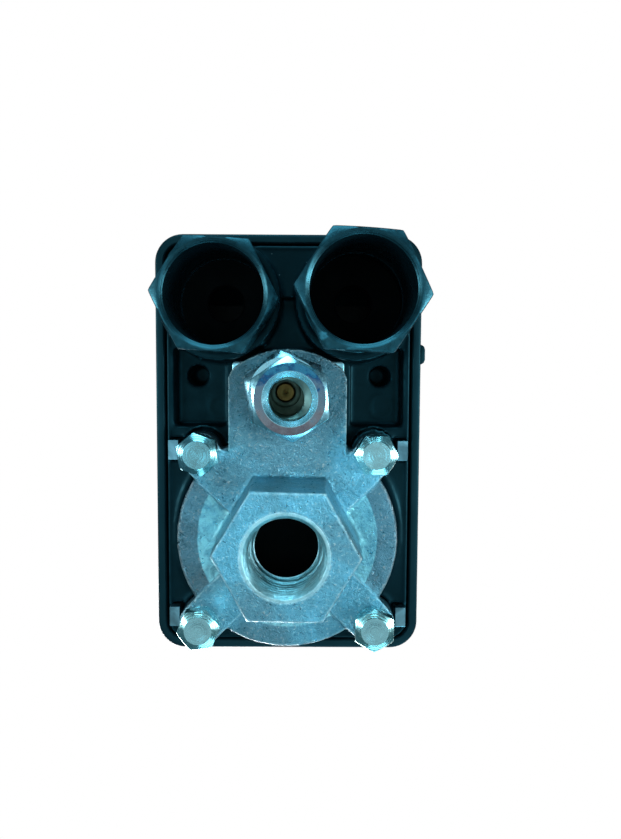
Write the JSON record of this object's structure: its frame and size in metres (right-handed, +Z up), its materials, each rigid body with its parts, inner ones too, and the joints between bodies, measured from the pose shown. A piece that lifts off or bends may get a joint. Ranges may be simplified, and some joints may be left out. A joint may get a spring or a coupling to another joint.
{
  "type": "pressure switch",
  "caption": "Black pressure switch with a hexagonal threaded port on a die-cast flange, an unloader outlet and screw-in cable glands; a lever works its contacts.",
  "frame": {"origin": "centre of the threaded port's mouth, at the face of the hexagonal boss", "axes": "+Z up from the port into the housing, which is how the switch stands on its pipe; +Y from the port towards the cable glands; X across the housing"},
  "size_m": [0.0579, 0.09, 0.0958],
  "materials": {
    "die_cast": "cast, satin",
    "bolt_steel": "zinc plated",
    "plate_steel": "zinc plated sheet",
    "outlet_steel": "bright plated",
    "seat_metal": "dull",
    "brass": "turned",
    "spring_steel": "drawn wire",
    "diaphragm_rubber": "moulded",
    "piston_plastic": "moulded",
    "base_plastic": "moulded, fine grain",
    "cover_plastic": "moulded, fine grain",
    "gland_plastic": "moulded, smooth",
    "seal_rubber": "moulded",
    "block_plastic": "moulded resin",
    "carrier_plastic": "moulded",
    "knob_plastic": "moulded"
  },
  "bodies": {
    "housing": {"port_flange": "die_cast", "flange_bolts": "bolt_steel", "valve_plate": "plate_steel", "unloader_fitting": "outlet_steel", "unloader_lock_nut": "outlet_steel", "unloader_seat": "seat_metal", "unloader_spring": "spring_steel", "diaphragm": "diaphragm_rubber", "base": "base_plastic", "gland_seal_left": "seal_rubber", "gland_seal_right": "seal_rubber", "frame": "plate_steel", "pivot_pin": "bolt_steel", "main_spring": "spring_steel", "contact_block": "block_plastic", "terminal_strips": "brass", "terminal_screws": "bolt_steel", "block_screws": "bolt_steel", "earth_screws": "brass"},
    "lever": {"lever": "plate_steel", "spring_cup": "plate_steel"},
    "piston": {"piston": "piston_plastic"},
    "valve_pin": {"unloader_pin": "brass"},
    "carrier": {"contact_carrier": "carrier_plastic", "bridge_contacts": "brass", "contact_springs": "spring_steel"},
    "nut_left": {"gland_nut_left": "gland_plastic"},
    "nut_right": {"gland_nut_right": "gland_plastic"},
    "adjuster": {"adjusting_screw": "bolt_steel"},
    "spring_nut": {"spring_plate": "plate_steel"},
    "cover": {"cover": "cover_plastic"},
    "cover_fastener": {"cover_screw": "bolt_steel"},
    "on_off": {"knob": "knob_plastic", "knob_shaft": "carrier_plastic"}
  },
  "joints": [
    {"name": "lever_tilt", "type": "hinge", "parent": "housing", "child": "lever", "pos_m": [0, 0.015, 0.037], "axis": [-1, 0, 0], "range_deg": [0, 5.7], "stiffness_Nm_per_rad": 2, "springref_deg": -5.73, "deforming": ["main_spring"]},
    {"name": "piston_slide", "type": "slide", "parent": "housing", "child": "piston", "axis": [0, 0, 1], "range_m": [0, 0.0015]},
    {"name": "valve_pin_slide", "type": "slide", "parent": "housing", "child": "valve_pin", "axis": [0, 0, -1], "range_m": [0, 0.0017], "deforming": ["unloader_spring"]},
    {"name": "carrier_slide", "type": "slide", "parent": "housing", "child": "carrier", "axis": [0, 0, -1], "range_m": [0, 0.002]},
    {"name": "nut_left_turn", "type": "hinge", "parent": "housing", "child": "nut_left", "pos_m": [0.0142, 0.0501, 0.01], "axis": [0, 0, 1], "continuous": true},
    {"name": "nut_right_turn", "type": "hinge", "parent": "housing", "child": "nut_right", "pos_m": [-0.0142, 0.0501, 0.005], "axis": [0, 0, 1], "continuous": true},
    {"name": "adjuster_turn", "type": "hinge", "parent": "housing", "child": "adjuster", "pos_m": [0, 0, 0.06], "axis": [0, 0, 1], "range_deg": [-540, 540]},
    {"name": "spring_nut_slide", "type": "slide", "parent": "housing", "child": "spring_nut", "axis": [0, 0, 1], "range_m": [-0.0015, 0.0015], "deforming": ["main_spring"]},
    {"name": "cover_lift", "type": "slide", "parent": "housing", "child": "cover", "axis": [0, 0, 1], "range_m": [0, 0.07]},
    {"name": "cover_screw_turn", "type": "hinge", "parent": "cover", "child": "cover_fastener", "pos_m": [0, 0.014, 0.068], "axis": [0, 0, 1], "continuous": true},
    {"name": "knob_turn", "type": "hinge", "parent": "cover", "child": "on_off", "pos_m": [0, 0.042, 0.08], "axis": [0, 0, 1], "range_deg": [-90, 0]}
  ],
  "couplings": [
    {"joint": "piston_slide", "follows": "lever_tilt", "m_per_rad": 0.0145},
    {"joint": "valve_pin_slide", "follows": "lever_tilt", "m_per_rad": 0.0162},
    {"joint": "carrier_slide", "follows": "lever_tilt", "m_per_rad": 0.0186},
    {"joint": "adjuster_turn", "follows": "spring_nut_slide", "rad_per_m": -6283.2}
  ]
}
